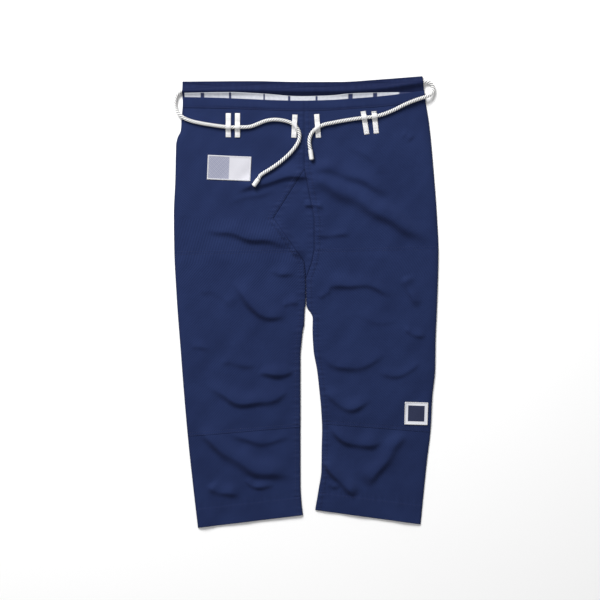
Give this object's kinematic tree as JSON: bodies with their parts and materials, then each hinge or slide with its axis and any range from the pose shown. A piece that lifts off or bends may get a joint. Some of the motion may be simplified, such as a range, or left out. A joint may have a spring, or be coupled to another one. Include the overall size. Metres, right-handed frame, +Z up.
{
  "type": "jiu-jitsu gi trousers",
  "caption": "Cotton training trousers laid flat with the front up: roomy straight legs, knee patches, crotch gusset and a rope drawstring through belt loops.",
  "frame": {"origin": "on the surface that the trousers lie on, in the middle of the cloth's own outline", "axes": "+X to the wearer's left, +Y to the waist, +Z up through the front of the garment"},
  "size_m": [0.5716, 0.975, 0.0206],
  "materials": {
    "navy_twill": "matt cotton twill",
    "white_webbing": "woven cotton tape",
    "white_rope": "twisted cotton rope",
    "waist_tape": "woven tape",
    "woven_label": "woven label",
    "rope_whipping": "bound rope end"
  },
  "bodies": {
    "root": {"back_leg_right": "navy_twill", "back_leg_left": "navy_twill", "front_leg_right": "navy_twill", "front_leg_left": "navy_twill", "knee_patch_right": "navy_twill", "knee_patch_left": "navy_twill", "crotch_gusset_front": "navy_twill", "crotch_gusset_back": "navy_twill", "waistband_front": "navy_twill", "waist_casing_back": "navy_twill", "waist_tape": "waist_tape", "belt_loop_right_outer": "white_webbing", "belt_loop_right_middle": "white_webbing", "belt_loop_right_centre": "white_webbing", "belt_loop_left_centre": "white_webbing", "belt_loop_left_middle": "white_webbing", "belt_loop_left_outer": "white_webbing", "thigh_label": "woven_label", "shin_label": "woven_label", "drawstring_back": "white_rope", "drawstring_right": "white_rope", "drawstring_left": "white_rope", "cord_tip_right": "rope_whipping", "cord_tip_left": "rope_whipping"}
  },
  "joints": []
}
